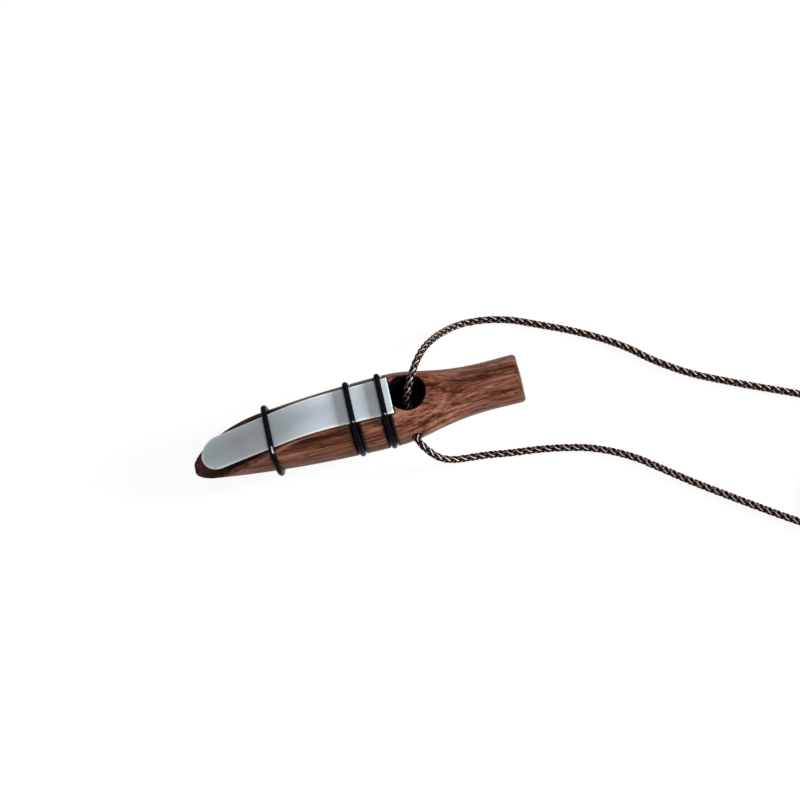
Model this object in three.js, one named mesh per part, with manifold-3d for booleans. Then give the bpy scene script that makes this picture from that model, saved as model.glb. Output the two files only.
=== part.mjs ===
// Roe deer call: a turned wooden body with a curved tone board, a plastic reed lying on it,
// three rubber rings round both, and a braided neck cord.
// Millimetres, +Z up. +X runs along the body to the horn end, and the reed faces up.
// The origin lies under the middle of the body, on the surface that the call rests on.

import * as THREE from "three";
import { mergeVertices } from "three/addons/utils/BufferGeometryUtils.js";
import Module from "manifold-3d";

const wasm = await Module();
wasm.setup();

// Turned body. A value ending in AT is a distance along the axis from the horn end.
const BODY_LENGTH = 94;
const HORN_RADIUS = 6.75;
const HORN_EDGE_ROUND = 1.3;
const WAIST_AT = 8.5;
const WAIST_RADIUS = 6.65;
const FLARE_WAIST_HANDLE = 15.5;
const FLARE_BELLY_HANDLE = 9.5;
const BELLY_AT = 37;
const BELLY_RADIUS = 10;
const TAPER_HANDLE = 29;
const TIP_RADIUS = 5.3;
const NOSE_ROUND = 0.3;

// Tone hole, horn bore and cord hole. Heights are measured up from the axis.
const TONE_HOLE_AT = 31.4;
const TONE_HOLE_RADIUS = 5.4;
const TONE_HOLE_FLOOR_HEIGHT = -5.5;
const HORN_BORE_RADIUS = 3.2;
const CORD_HOLE_OFFSET = -0.15;
const CORD_HOLE_HEIGHT = -0.6;
const CORD_HOLE_CLEARANCE = 0.4;

// Tone board and air channel
const SHOULDER_PAST_TONE_HOLE = 4.1;
const TONE_BOARD_DEPTH = 1.7;
const TONE_BOARD_CURVE_LENGTH = 41.7;
const TONE_BOARD_SLOPE = THREE.MathUtils.degToRad(23.6);
const CHANNEL_WIDTH = 4.5;
const CHANNEL_DEPTH = 3;
const CHANNEL_TIP_LAND = 8;

// Reed
const REED_THICKNESS = 0.4;
const REED_WIDTH = 11.2;
const REED_TONGUE_WIDTH = 9.9;
const REED_TIP_SETBACK = 3.1;
const REED_TIP_ROUND_LENGTH = 5.2;
const REED_WRAP_ANGLE = THREE.MathUtils.degToRad(16);
const REED_END_CLEARANCE = 0.3;
const REED_SEAT_CLEARANCE = 0.05;
const REED_SPLIT_GAP = 0.3;

// Rubber rings
const RING_SECTION = 1.6;
const RING_CLEARANCE = 0.15;
const GROOVE_DEPTH = 1.25;
const GROOVE_SIDE_CLEARANCE = 0.3;
const REAR_RING_PAST_SHOULDER = 2.8;
const CLAMP_RING_SPACING = 8.95;
const TUNING_RING_FROM_TIP = 23.4;
const TUNING_RING_LEAN = THREE.MathUtils.degToRad(2.5);

// Neck cord: its coil is wound in two layers and lies beside the body, held by a flat tie
const CORD_DIAMETER = 2.1;
const CORD_END_GAP = 0.3;
const CORD_FLOOR_GAP = 0.05;
const CORD_MEETING_Y = -7.6;
const COIL_CENTRE = new THREE.Vector2(120.4, -56);
const COIL_HEADING = THREE.MathUtils.degToRad(-34);
const COIL_INNER_RADIUS = 5.95;
const COIL_GAP = 0.55;
const COIL_LOOPS = 8;
const COIL_CLIMB_TURNS = 0.5;
const COIL_EXIT_ANGLE = THREE.MathUtils.degToRad(75);
const COIL_EXIT_SHIFT = 4;
const TIE_THICKNESS = 0.5;
const TIE_WIDTH = 3;
const TIE_CLEARANCE = 0.3;
const TIE_CORNER_ROUND = 1.2;
const KNOT_LENGTH = 8;
const KNOT_RADIUS = 2.5;
const KNOT_END_ROUND = 1.2;

// Facets
const BODY_SIDES = 48;
const HOLE_SIDES = 40;
const BEND_STEPS = 12;
const ROUND_STEPS = 4;
const RING_STEPS = 48;
const RING_SIDES = 8;
const RUN_SIDES = 8;
const UPPER_RUN_STEPS = 44;
const LOWER_RUN_STEPS = 36;
const COIL_SIDES = 6;
const COIL_STEPS_PER_TURN = 24;

// Cutting tools reach past the surface that they open by this much
const CUT_OVERRUN = 4;

const WOOD = { color: 0x6b3f30, roughness: 0.5, metalness: 0 };
const REED_PLASTIC = { color: 0xaebac2, roughness: 0.35, metalness: 0 };
const RUBBER = { color: 0x0c0c0d, roughness: 0.3, metalness: 0 };
const CORD = { color: 0x35271f, roughness: 0.8, metalness: 0 };
const TIE = { color: 0x141414, roughness: 0.6, metalness: 0 };

const SHOULDER_AT = TONE_HOLE_AT + SHOULDER_PAST_TONE_HOLE;
const REAR_CLAMP_RING_AT = SHOULDER_AT + REAR_RING_PAST_SHOULDER;
const FRONT_CLAMP_RING_AT = REAR_CLAMP_RING_AT + CLAMP_RING_SPACING;
const TUNING_RING_AT = BODY_LENGTH - TUNING_RING_FROM_TIP;
const TONE_BOARD_HEIGHT = BELLY_RADIUS - TONE_BOARD_DEPTH;
const GROOVE_RADIUS = BELLY_RADIUS - GROOVE_DEPTH;

const stationX = (distance) => BODY_LENGTH / 2 - distance;
const toneHoleX = stationX(TONE_HOLE_AT);
const cordHoleX = toneHoleX + CORD_HOLE_OFFSET;

function namedMesh(name, geometry, look) {
  const mesh = new THREE.Mesh(geometry, new THREE.MeshStandardMaterial(look));
  mesh.name = name;
  return mesh;
}

// Closed solid of a geometry, without the flat triangles that a pole on the axis leaves
function solidOf(geometry) {
  const bare = new THREE.BufferGeometry();
  bare.setAttribute("position", geometry.getAttribute("position"));
  if (geometry.index) bare.setIndex(geometry.index);
  const merged = mergeVertices(bare);
  const corners = merged.index.array;
  const kept = [];
  for (let i = 0; i < corners.length; i += 3) {
    const [a, b, c] = [corners[i], corners[i + 1], corners[i + 2]];
    if (a !== b && b !== c && c !== a) kept.push(a, b, c);
  }
  const vertProperties = new Float32Array(merged.getAttribute("position").array);
  const triVerts = new Uint32Array(kept);
  return new wasm.Manifold(new wasm.Mesh({ numProp: 3, vertProperties, triVerts }));
}

function geometryOf(solid) {
  const mesh = solid.getMesh();
  const geometry = new THREE.BufferGeometry();
  geometry.setAttribute("position", new THREE.BufferAttribute(mesh.vertProperties, 3));
  geometry.setIndex(new THREE.BufferAttribute(mesh.triVerts, 1));
  geometry.computeVertexNormals();
  return geometry;
}

// Solid turned about the X axis from points (distance from the horn end, radius), horn end first
function turned(points, sides) {
  const profile = points.map((point) => new THREE.Vector2(Math.max(point.y, 0), stationX(point.x)));
  const geometry = new THREE.LatheGeometry(profile.reverse(), sides);
  geometry.rotateZ(-Math.PI / 2);
  return solidOf(geometry);
}

// Solid of an outline in X and Z, centred on Y
function slab(points, width) {
  const options = { depth: width, bevelEnabled: false };
  const geometry = new THREE.ExtrudeGeometry(new THREE.Shape(points), options);
  geometry.translate(0, 0, -width / 2);
  geometry.rotateX(Math.PI / 2);
  return solidOf(geometry);
}

// Solid of a plan outline in X and Y, between two heights
function prism(points, bottom, top) {
  const options = { depth: top - bottom, bevelEnabled: false };
  const geometry = new THREE.ExtrudeGeometry(new THREE.Shape(points), options);
  geometry.translate(0, 0, bottom);
  return solidOf(geometry);
}

// Outline of the turned body, from the middle of the horn end to the middle of the tip
const hornEdge = new THREE.EllipseCurve(
  HORN_EDGE_ROUND, HORN_RADIUS - HORN_EDGE_ROUND,
  HORN_EDGE_ROUND, HORN_EDGE_ROUND, Math.PI, Math.PI / 2, true,
);
const flare = new THREE.CubicBezierCurve(
  new THREE.Vector2(WAIST_AT, WAIST_RADIUS),
  new THREE.Vector2(WAIST_AT + FLARE_WAIST_HANDLE, WAIST_RADIUS),
  new THREE.Vector2(BELLY_AT - FLARE_BELLY_HANDLE, BELLY_RADIUS),
  new THREE.Vector2(BELLY_AT, BELLY_RADIUS),
);
const taper = new THREE.QuadraticBezierCurve(
  new THREE.Vector2(BELLY_AT, BELLY_RADIUS),
  new THREE.Vector2(BELLY_AT + TAPER_HANDLE, BELLY_RADIUS),
  new THREE.Vector2(BODY_LENGTH - NOSE_ROUND, TIP_RADIUS),
);
const nose = new THREE.EllipseCurve(
  BODY_LENGTH - NOSE_ROUND, TIP_RADIUS - NOSE_ROUND, NOSE_ROUND, NOSE_ROUND, Math.PI / 2, 0, true,
);
const bodyOutline = [
  new THREE.Vector2(0, 0),
  ...hornEdge.getPoints(ROUND_STEPS),
  ...flare.getPoints(BEND_STEPS),
  ...taper.getPoints(BEND_STEPS).slice(1),
  ...nose.getPoints(ROUND_STEPS).slice(1),
  new THREE.Vector2(BODY_LENGTH, 0),
];

// Radius of the turned body at a distance from the horn end
function bodyRadiusAt(distance) {
  const next = bodyOutline.findIndex((point) => point.x >= distance && point.x > 0);
  const [a, b] = [bodyOutline[next - 1], bodyOutline[next]];
  return THREE.MathUtils.mapLinear(distance, a.x, b.x, a.y, b.y);
}

// The tone board is flat behind, bends down and then runs straight to the upper edge of the nose.
// The bend is as round as its slope, its length and the drop to the nose allow.
const boardTip = new THREE.Vector2(stationX(BODY_LENGTH), NOSE_ROUND - TIP_RADIUS);
const boardDrop = TONE_BOARD_HEIGHT - boardTip.y;
const boardBendRadius =
  (TONE_BOARD_CURVE_LENGTH * Math.tan(TONE_BOARD_SLOPE) - boardDrop) / (1 / Math.cos(TONE_BOARD_SLOPE) - 1);
const boardBendCentre = new THREE.Vector2(
  boardTip.x + TONE_BOARD_CURVE_LENGTH, TONE_BOARD_HEIGHT - boardBendRadius,
);

// Points of a line at a height over the tone board, from startX towards the tip and on past it
function boardLine(height, startX, bendAngle) {
  const radius = boardBendRadius + height;
  const { x, y } = boardBendCentre;
  const bend = new THREE.EllipseCurve(x, y, radius, radius, Math.PI / 2, Math.PI / 2 + bendAngle, false);
  const bendPoints = bend.getPoints(BEND_STEPS);
  const bendEnd = bendPoints[bendPoints.length - 1];
  const reach = (bendEnd.x - boardTip.x + CUT_OVERRUN) / Math.cos(bendAngle);
  const pastTip = new THREE.Vector2(
    bendEnd.x - reach * Math.cos(bendAngle), bendEnd.y - reach * Math.sin(bendAngle),
  );
  return [new THREE.Vector2(startX, y + radius), ...bendPoints, pastTip];
}

// Height of such a line over the axis at a distance from the horn end
function lineHeightAt(line, distance) {
  const x = stationX(distance);
  const next = line.findIndex((point, i) => i > 0 && point.x <= x);
  const [a, b] = [line[next - 1], line[next]];
  return THREE.MathUtils.mapLinear(x, a.x, b.x, a.y, b.y);
}

// Everything over such a line, as a cutting tool
function overBoard(height, startX, width) {
  const line = boardLine(height, startX, TONE_BOARD_SLOPE);
  const ceiling = BELLY_RADIUS + CUT_OVERRUN;
  const corners = [
    new THREE.Vector2(line[line.length - 1].x, ceiling), new THREE.Vector2(startX, ceiling),
  ];
  return slab([...line, ...corners], width);
}

// Round drill from one point to another
function drill(from, to, radius) {
  const geometry = new THREE.CylinderGeometry(radius, radius, from.distanceTo(to), HOLE_SIDES);
  const along = to.clone().sub(from).normalize();
  geometry.applyQuaternion(new THREE.Quaternion().setFromUnitVectors(new THREE.Vector3(0, 1, 0), along));
  const middle = from.clone().lerp(to, 0.5);
  geometry.translate(middle.x, middle.y, middle.z);
  return solidOf(geometry);
}

function ringGroove(distance) {
  const half = RING_SECTION / 2 + GROOVE_SIDE_CLEARANCE;
  const outside = BELLY_RADIUS + CUT_OVERRUN;
  return turned(
    [
      new THREE.Vector2(distance - half, GROOVE_RADIUS),
      new THREE.Vector2(distance - half, outside),
      new THREE.Vector2(distance + half, outside),
      new THREE.Vector2(distance + half, GROOVE_RADIUS),
      new THREE.Vector2(distance - half, GROOVE_RADIUS),
    ],
    BODY_SIDES,
  );
}

function airChannel() {
  const tipX = stationX(BODY_LENGTH) + CHANNEL_TIP_LAND;
  const half = CHANNEL_WIDTH / 2;
  const length = prism(
    [
      new THREE.Vector2(tipX, -half), new THREE.Vector2(toneHoleX, -half),
      new THREE.Vector2(toneHoleX, half), new THREE.Vector2(tipX, half),
    ],
    -BELLY_RADIUS, BELLY_RADIUS,
  );
  return overBoard(-CHANNEL_DEPTH, toneHoleX, 2 * CHANNEL_WIDTH).intersect(length);
}

function callBody() {
  const outside = BELLY_RADIUS + CUT_OVERRUN;
  const toneHole = drill(
    new THREE.Vector3(toneHoleX, 0, TONE_HOLE_FLOOR_HEIGHT),
    new THREE.Vector3(toneHoleX, 0, outside),
    TONE_HOLE_RADIUS,
  );
  const hornBore = drill(
    new THREE.Vector3(toneHoleX, 0, 0),
    new THREE.Vector3(stationX(0) + CUT_OVERRUN, 0, 0),
    HORN_BORE_RADIUS,
  );
  const cordHole = drill(
    new THREE.Vector3(cordHoleX, 0, CORD_HOLE_HEIGHT),
    new THREE.Vector3(cordHoleX, -outside, CORD_HOLE_HEIGHT),
    CORD_DIAMETER / 2 + CORD_HOLE_CLEARANCE,
  );
  const cuts = [
    overBoard(0, stationX(SHOULDER_AT), 2 * outside),
    ringGroove(REAR_CLAMP_RING_AT),
    ringGroove(FRONT_CLAMP_RING_AT),
    airChannel(),
    toneHole,
    hornBore,
    cordHole,
  ];
  const body = cuts.reduce((solid, cut) => solid.subtract(cut), turned(bodyOutline, BODY_SIDES));
  return namedMesh("call_body", geometryOf(body), WOOD);
}

// Reed: its side view follows the tone board and leaves it along a straight line
const reedEndX = stationX(SHOULDER_AT) - REED_END_CLEARANCE;
const reedTipX = stationX(BODY_LENGTH - REED_TIP_SETBACK);
const reedTopHeight = REED_SEAT_CLEARANCE + REED_THICKNESS;

// The reed narrows evenly towards its tip
function reedHalfWidth(x) {
  return THREE.MathUtils.mapLinear(x, reedEndX, reedTipX, REED_WIDTH, REED_TONGUE_WIDTH) / 2;
}

// The part of the reed inside a plan outline
function reedPiece(name, outline) {
  const underside = boardLine(REED_SEAT_CLEARANCE, reedEndX, REED_WRAP_ANGLE);
  const top = boardLine(reedTopHeight, reedEndX, REED_WRAP_ANGLE);
  const strip = slab([...underside, ...top.reverse()], REED_WIDTH + CUT_OVERRUN);
  const plan = prism(outline, -BELLY_RADIUS, BELLY_RADIUS + CUT_OVERRUN);
  return namedMesh(name, geometryOf(strip.intersect(plan)), REED_PLASTIC);
}

function reedClamped() {
  const splitX = stationX(TUNING_RING_AT) + REED_SPLIT_GAP / 2;
  return reedPiece("reed_clamped", [
    new THREE.Vector2(splitX, -reedHalfWidth(splitX)),
    new THREE.Vector2(reedEndX, -REED_WIDTH / 2),
    new THREE.Vector2(reedEndX, REED_WIDTH / 2),
    new THREE.Vector2(splitX, reedHalfWidth(splitX)),
  ]);
}

function reedTongue() {
  const splitX = stationX(TUNING_RING_AT) - REED_SPLIT_GAP / 2;
  const roundX = reedTipX + REED_TIP_ROUND_LENGTH;
  const tip = new THREE.EllipseCurve(
    roundX, 0, REED_TIP_ROUND_LENGTH, reedHalfWidth(roundX), Math.PI / 2, 1.5 * Math.PI, false,
  );
  return reedPiece("reed_tongue", [
    new THREE.Vector2(splitX, -reedHalfWidth(splitX)),
    new THREE.Vector2(splitX, reedHalfWidth(splitX)),
    ...tip.getPoints(2 * BEND_STEPS),
  ]);
}

// A ring pulled tight round a section of the call: across each direction it touches the furthest point,
// either on the round back or at one of the corners, all in Y and Z
function rubberRing(name, distance, backRadius, backTop, corners) {
  const positions = [];
  const index = [];
  const half = RING_SECTION / 2;
  const count = RING_STEPS * RING_SIDES;
  for (let i = 0; i < RING_STEPS; i += 1) {
    const out = new THREE.Vector2(0, 1).rotateAround(new THREE.Vector2(), (2 * Math.PI * i) / RING_STEPS);
    const back = out.clone().multiplyScalar(backRadius);
    const touched = (back.y <= backTop ? [back, ...corners] : corners).reduce(
      (best, point) => (point.dot(out) > best.dot(out) ? point : best),
    );
    for (let j = 0; j < RING_SIDES; j += 1) {
      const turn = (2 * Math.PI * j) / RING_SIDES;
      const reach = RING_CLEARANCE + half + half * Math.cos(turn);
      const point = touched.clone().addScaledVector(out, reach);
      positions.push(half * Math.sin(turn), point.x, point.y);
      const [a, b] = [i * RING_SIDES + j, i * RING_SIDES + ((j + 1) % RING_SIDES)];
      const [c, d] = [(a + RING_SIDES) % count, (b + RING_SIDES) % count];
      index.push(a, c, b, b, c, d);
    }
  }
  const geometry = new THREE.BufferGeometry();
  geometry.setAttribute("position", new THREE.Float32BufferAttribute(positions, 3));
  geometry.setIndex(index);
  geometry.computeVertexNormals();
  const ring = namedMesh(name, geometry, RUBBER);
  ring.position.x = stationX(distance);
  return ring;
}

function mirrored(y, z) {
  return [new THREE.Vector2(-y, z), new THREE.Vector2(y, z)];
}

function reedCorners(distance) {
  const topLine = boardLine(reedTopHeight, reedEndX, REED_WRAP_ANGLE);
  return mirrored(reedHalfWidth(stationX(distance)), lineHeightAt(topLine, distance));
}

function clampRing(name, distance) {
  return rubberRing(name, distance, GROOVE_RADIUS, GROOVE_RADIUS, reedCorners(distance));
}

function tuningRing() {
  const radius = bodyRadiusAt(TUNING_RING_AT);
  const boardTop = boardLine(0, stationX(SHOULDER_AT), TONE_BOARD_SLOPE);
  const height = lineHeightAt(boardTop, TUNING_RING_AT);
  const boardEdges = mirrored(Math.sqrt(radius ** 2 - height ** 2), height);
  const corners = [...boardEdges, ...reedCorners(TUNING_RING_AT)];
  const ring = rubberRing("tuning_ring", TUNING_RING_AT, radius, height, corners);
  ring.rotation.y = -TUNING_RING_LEAN;
  return ring;
}

// The call lies on whichever rings reach furthest down, and that sets the height of its axis
const ringReach = (backRadius) => backRadius + RING_CLEARANCE + RING_SECTION / 2;
const tuningRingReach = ringReach(bodyRadiusAt(TUNING_RING_AT)) * Math.cos(TUNING_RING_LEAN);
const axisHeight = Math.max(ringReach(GROOVE_RADIUS), tuningRingReach) + RING_SECTION / 2;

// Neck cord. Its X is measured from the middle of the tone hole.
const cordLie = CORD_DIAMETER / 2 + CORD_FLOOR_GAP;
const cordHoleZ = axisHeight + CORD_HOLE_HEIGHT;
const bodyTopZ = axisHeight + bodyRadiusAt(TONE_HOLE_AT);
const bottomLayerHeight = TIE_THICKNESS + TIE_CLEARANCE + CORD_DIAMETER / 2;
const knotHeight = KNOT_RADIUS;
const coilAlong = new THREE.Vector3(Math.cos(COIL_HEADING), Math.sin(COIL_HEADING), 0);
const coilAcross = new THREE.Vector3(-Math.sin(COIL_HEADING), Math.cos(COIL_HEADING), 0);
const coilStep = CORD_DIAMETER + COIL_GAP;
const coilTurns = Math.round(COIL_LOOPS) + 0.5;
const coilOuterRadius = COIL_INNER_RADIUS + (coilStep * coilTurns) / 2;

// Point of the coil's plan: along and across the heading of the cord that comes in
function coilPoint(along, across, height) {
  return new THREE.Vector3(COIL_CENTRE.x, COIL_CENTRE.y, height)
    .addScaledVector(coilAlong, along)
    .addScaledVector(coilAcross, across);
}

// The coil spirals in on the surface, climbs in the half turn where it reverses, and spirals out on top.
// Then it eases out and down to the knot.
function coilRoute() {
  const steps = Math.round(coilTurns * COIL_STEPS_PER_TURN);
  const points = [coilPoint(-CORD_DIAMETER, -coilOuterRadius, bottomLayerHeight)];
  for (let i = 0; i <= steps; i += 1) {
    const turn = (i / steps) * coilTurns;
    const angle = 2 * Math.PI * turn - Math.PI / 2;
    const fromMiddle = turn - coilTurns / 2;
    const climb = THREE.MathUtils.smoothstep(fromMiddle, -COIL_CLIMB_TURNS / 2, COIL_CLIMB_TURNS / 2);
    const left = 2 * Math.PI * (coilTurns - turn);
    const exit = THREE.MathUtils.smoothstep(COIL_EXIT_ANGLE - left, 0, COIL_EXIT_ANGLE);
    const layerHeight = bottomLayerHeight + coilStep * climb;
    const radius = COIL_INNER_RADIUS + coilStep * Math.abs(fromMiddle) + COIL_EXIT_SHIFT * exit;
    const height = THREE.MathUtils.lerp(layerHeight, knotHeight, exit);
    points.push(coilPoint(radius * Math.cos(angle), radius * Math.sin(angle), height));
  }
  points.push(coilPoint(-CORD_DIAMETER, coilOuterRadius + COIL_EXIT_SHIFT, knotHeight));
  return points;
}

// Least gap between stretches of a route that lie more than half a turn apart
function leastGap(points, stepsApart) {
  let least = Infinity;
  for (let i = 0; i < points.length; i += 1) {
    for (let j = i + stepsApart; j < points.length; j += 1) {
      least = Math.min(least, points[i].distanceTo(points[j]));
    }
  }
  return least - CORD_DIAMETER;
}

// Round tube along a smooth curve through the points
function tube(points, steps, sides) {
  const section = Array.from({ length: sides }, (_, i) => {
    const turn = (2 * Math.PI * (i + 0.5)) / sides;
    return new THREE.Vector2(Math.cos(turn), Math.sin(turn)).multiplyScalar(CORD_DIAMETER / 2);
  });
  const extrudePath = new THREE.CatmullRomCurve3(points);
  return new THREE.ExtrudeGeometry(new THREE.Shape(section), { steps, extrudePath, bevelEnabled: false });
}

const coilPoints = coilRoute();
const knotStart = -CORD_DIAMETER - CORD_END_GAP;
const knotEnd = knotStart - KNOT_LENGTH;
const knotAcross = coilOuterRadius + COIL_EXIT_SHIFT;

// From inside the cord hole, up through the tone hole, over its far rim and down to the surface
const upperRoute = [
  [CORD_HOLE_OFFSET, CORD_MEETING_Y + CORD_END_GAP / 2, cordHoleZ],
  [CORD_HOLE_OFFSET, -5.9, cordHoleZ],
  [-0.3, -3.3, cordHoleZ + 0.6],
  [-0.5, -1.6, cordHoleZ + 2.2],
  [-0.4, -0.6, cordHoleZ + 4.3],
  [0.1, 0.2, bodyTopZ - 3.8],
  [0.8, 1.2, bodyTopZ - 1.9],
  [1.7, 2.5, bodyTopZ - 0.7],
  [2.9, 4.5, bodyTopZ - 0.1],
  [4.5, 7.4, bodyTopZ - 0.3],
  [6.2, 10.7, 18.3],
  [7.9, 13.9, 15.9],
  [9.7, 17.1, 12.6],
  [11.8, 20.3, 9],
  [14, 22.9, 5.8],
  [16.4, 24.9, 3.3],
  [19, 26, 1.8],
  [21.6, 26.2, 1.2],
  [25.1, 25.8, cordLie],
  [31.7, 23.9, cordLie],
  [40, 19.8, cordLie],
  [48.3, 15.4, cordLie],
  [56.4, 10.2, cordLie],
  [62.4, 5.4, cordLie],
  [67.4, 0.6, cordLie],
  [76.4, -6.4, cordLie],
  [88.4, -13.2, cordLie],
  [102.4, -20.4, cordLie],
  [113.4, -26.4, 1.5],
].map((point) => new THREE.Vector3(...point));
upperRoute.push(
  coilPoint(knotEnd - CORD_END_GAP - 2 * CORD_DIAMETER, knotAcross, knotHeight),
  coilPoint(knotEnd - CORD_END_GAP, knotAcross, knotHeight),
);

// From inside the cord hole, out of the side and down to the surface
const lowerRoute = [
  [CORD_HOLE_OFFSET, CORD_MEETING_Y - CORD_END_GAP / 2, cordHoleZ],
  [CORD_HOLE_OFFSET, -9.9, cordHoleZ],
  [0.2, -11.5, cordHoleZ - 0.1],
  [1, -12.9, cordHoleZ - 0.5],
  [2, -14.1, 8.6],
  [3.3, -15.1, 7.2],
  [4.8, -15.7, 5.7],
  [6.7, -15.9, 4.2],
  [8.8, -15.8, 2.9],
  [11.2, -15.6, 1.9],
  [14, -15.6, 1.35],
  [17.4, -15.9, 1.15],
  [23, -16.9, cordLie],
  [31.8, -18.2, cordLie],
  [38.4, -19.6, cordLie],
  [44.8, -21.5, cordLie],
  [50.9, -24.4, cordLie],
  [56.8, -28.2, cordLie],
  [60.4, -31.2, cordLie],
  [69.4, -39, cordLie],
  [81.4, -48.6, cordLie],
  [93.4, -58, 1.4],
].map((point) => new THREE.Vector3(...point));
lowerRoute.push(
  coilPoint(-CORD_END_GAP - 4 * CORD_DIAMETER, -coilOuterRadius, bottomLayerHeight),
  coilPoint(-CORD_END_GAP - CORD_DIAMETER, -coilOuterRadius, bottomLayerHeight),
);

function cordKnot() {
  const half = KNOT_LENGTH / 2;
  const end = new THREE.EllipseCurve(
    KNOT_RADIUS - KNOT_END_ROUND, half - KNOT_END_ROUND,
    KNOT_END_ROUND, KNOT_END_ROUND, 0, Math.PI / 2, false,
  );
  const upperHalf = [...end.getPoints(ROUND_STEPS), new THREE.Vector2(0, half)];
  const lowerHalf = upperHalf.map((point) => new THREE.Vector2(point.x, -point.y)).reverse();
  const barrel = geometryOf(solidOf(new THREE.LatheGeometry([...lowerHalf, ...upperHalf], 2 * BEND_STEPS)));
  const knot = namedMesh("cord_knot", barrel, CORD);
  knot.position.copy(coilPoint((knotStart + knotEnd) / 2, knotAcross, knotHeight));
  knot.rotation.z = COIL_HEADING - Math.PI / 2;
  return knot;
}

// Rectangle with rounded corners
function roundedRectangle(left, bottom, right, top, round) {
  const shape = new THREE.Shape();
  shape.absarc(right - round, top - round, round, 0, Math.PI / 2);
  shape.absarc(left + round, top - round, round, Math.PI / 2, Math.PI);
  shape.absarc(left + round, bottom + round, round, Math.PI, 1.5 * Math.PI);
  shape.absarc(right - round, bottom + round, round, 1.5 * Math.PI, 2 * Math.PI);
  return shape;
}

// Flat band round the whole width of the coil, on the side away from the body
function coilTie() {
  const inside = COIL_INNER_RADIUS - CORD_DIAMETER / 2 - TIE_CLEARANCE;
  const outside = coilOuterRadius + CORD_DIAMETER / 2 + TIE_CLEARANCE;
  const floor = TIE_THICKNESS;
  const ceiling = bottomLayerHeight + coilStep + CORD_DIAMETER / 2 + TIE_CLEARANCE;
  const grow = TIE_THICKNESS;
  const band = roundedRectangle(
    inside - grow, floor - grow, outside + grow, ceiling + grow, TIE_CORNER_ROUND + grow,
  );
  band.holes.push(roundedRectangle(inside, floor, outside, ceiling, TIE_CORNER_ROUND));
  const options = { depth: TIE_WIDTH, bevelEnabled: false, curveSegments: ROUND_STEPS };
  const geometry = new THREE.ExtrudeGeometry(band, options);
  geometry.translate(0, 0, -TIE_WIDTH / 2);
  geometry.rotateX(Math.PI / 2);
  const tie = namedMesh("coil_tie", geometry, TIE);
  tie.position.set(COIL_CENTRE.x, COIL_CENTRE.y, 0);
  tie.rotation.z = COIL_HEADING;
  return tie;
}

console.log(`coil: least gap to itself ${leastGap(coilPoints, COIL_STEPS_PER_TURN / 2).toFixed(2)} mm`);

const call = new THREE.Group();
call.position.z = axisHeight;
call.add(
  callBody(),
  reedClamped(),
  reedTongue(),
  tuningRing(),
  clampRing("front_clamp_ring", FRONT_CLAMP_RING_AT),
  clampRing("rear_clamp_ring", REAR_CLAMP_RING_AT),
);

const cord = new THREE.Group();
cord.position.x = toneHoleX;
cord.add(
  namedMesh("cord_upper_run", tube(upperRoute, UPPER_RUN_STEPS, RUN_SIDES), CORD),
  namedMesh("cord_lower_run", tube(lowerRoute, LOWER_RUN_STEPS, RUN_SIDES), CORD),
  namedMesh("cord_coil", tube(coilPoints, coilPoints.length - 1, COIL_SIDES), CORD),
  cordKnot(),
  coilTie(),
);

const roeDeerCall = new THREE.Group();
roeDeerCall.add(call, cord);

export default roeDeerCall;
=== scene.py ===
import math

import bpy
import numpy as np
from mathutils import Matrix, Vector


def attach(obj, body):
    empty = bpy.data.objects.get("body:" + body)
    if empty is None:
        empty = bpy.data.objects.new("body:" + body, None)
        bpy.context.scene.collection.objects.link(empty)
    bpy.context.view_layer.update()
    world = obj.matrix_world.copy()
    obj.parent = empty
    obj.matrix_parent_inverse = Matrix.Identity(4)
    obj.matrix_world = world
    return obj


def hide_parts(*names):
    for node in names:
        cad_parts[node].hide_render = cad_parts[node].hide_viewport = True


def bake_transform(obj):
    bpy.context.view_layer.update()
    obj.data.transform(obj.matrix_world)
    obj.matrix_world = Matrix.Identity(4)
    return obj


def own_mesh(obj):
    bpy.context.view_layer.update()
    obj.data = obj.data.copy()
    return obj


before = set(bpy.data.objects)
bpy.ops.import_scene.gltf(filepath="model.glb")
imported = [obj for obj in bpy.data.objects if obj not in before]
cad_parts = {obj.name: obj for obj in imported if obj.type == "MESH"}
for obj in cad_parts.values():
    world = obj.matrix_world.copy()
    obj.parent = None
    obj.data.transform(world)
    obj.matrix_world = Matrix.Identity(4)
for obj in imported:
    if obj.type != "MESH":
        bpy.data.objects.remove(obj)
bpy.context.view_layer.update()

# Lengths are in millimetres up to the point where a mesh is made, in the frame of the CAD model
MM = 0.001

# Sizes of the CAD model
BODY_LENGTH = 94.0
HORN_RADIUS, HORN_EDGE_ROUND = 6.75, 1.3
WAIST_AT, WAIST_RADIUS = 8.5, 6.65
FLARE_WAIST_HANDLE, FLARE_BELLY_HANDLE = 15.5, 9.5
BELLY_AT, BELLY_RADIUS = 37.0, 10.0
TAPER_HANDLE, TIP_RADIUS, NOSE_ROUND = 29.0, 5.3, 0.3
TONE_HOLE_AT, TONE_HOLE_RADIUS, TONE_HOLE_FLOOR = 31.4, 5.4, -5.5
HORN_BORE_RADIUS = 3.2
CORD_HOLE_OFFSET, CORD_HOLE_HEIGHT, CORD_HOLE_RADIUS = -0.15, -0.6, 1.45
SHOULDER_AT = 35.5
BOARD_HEIGHT, BOARD_CURVE_LENGTH, BOARD_SLOPE = 8.3, 41.7, math.radians(23.6)
CHANNEL_WIDTH, CHANNEL_DEPTH, CHANNEL_TIP_LAND = 4.5, 3.0, 8.0
REED_THICKNESS, REED_WIDTH, REED_TONGUE_WIDTH = 0.4, 11.2, 9.9
REED_TIP_SETBACK, REED_TIP_ROUND = 3.1, 5.2
REED_WRAP, REED_END_CLEARANCE, REED_SEAT = math.radians(16), 0.3, 0.05
GROOVE_RADIUS, GROOVE_HALF_WIDTH = 8.75, 1.1
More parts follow.
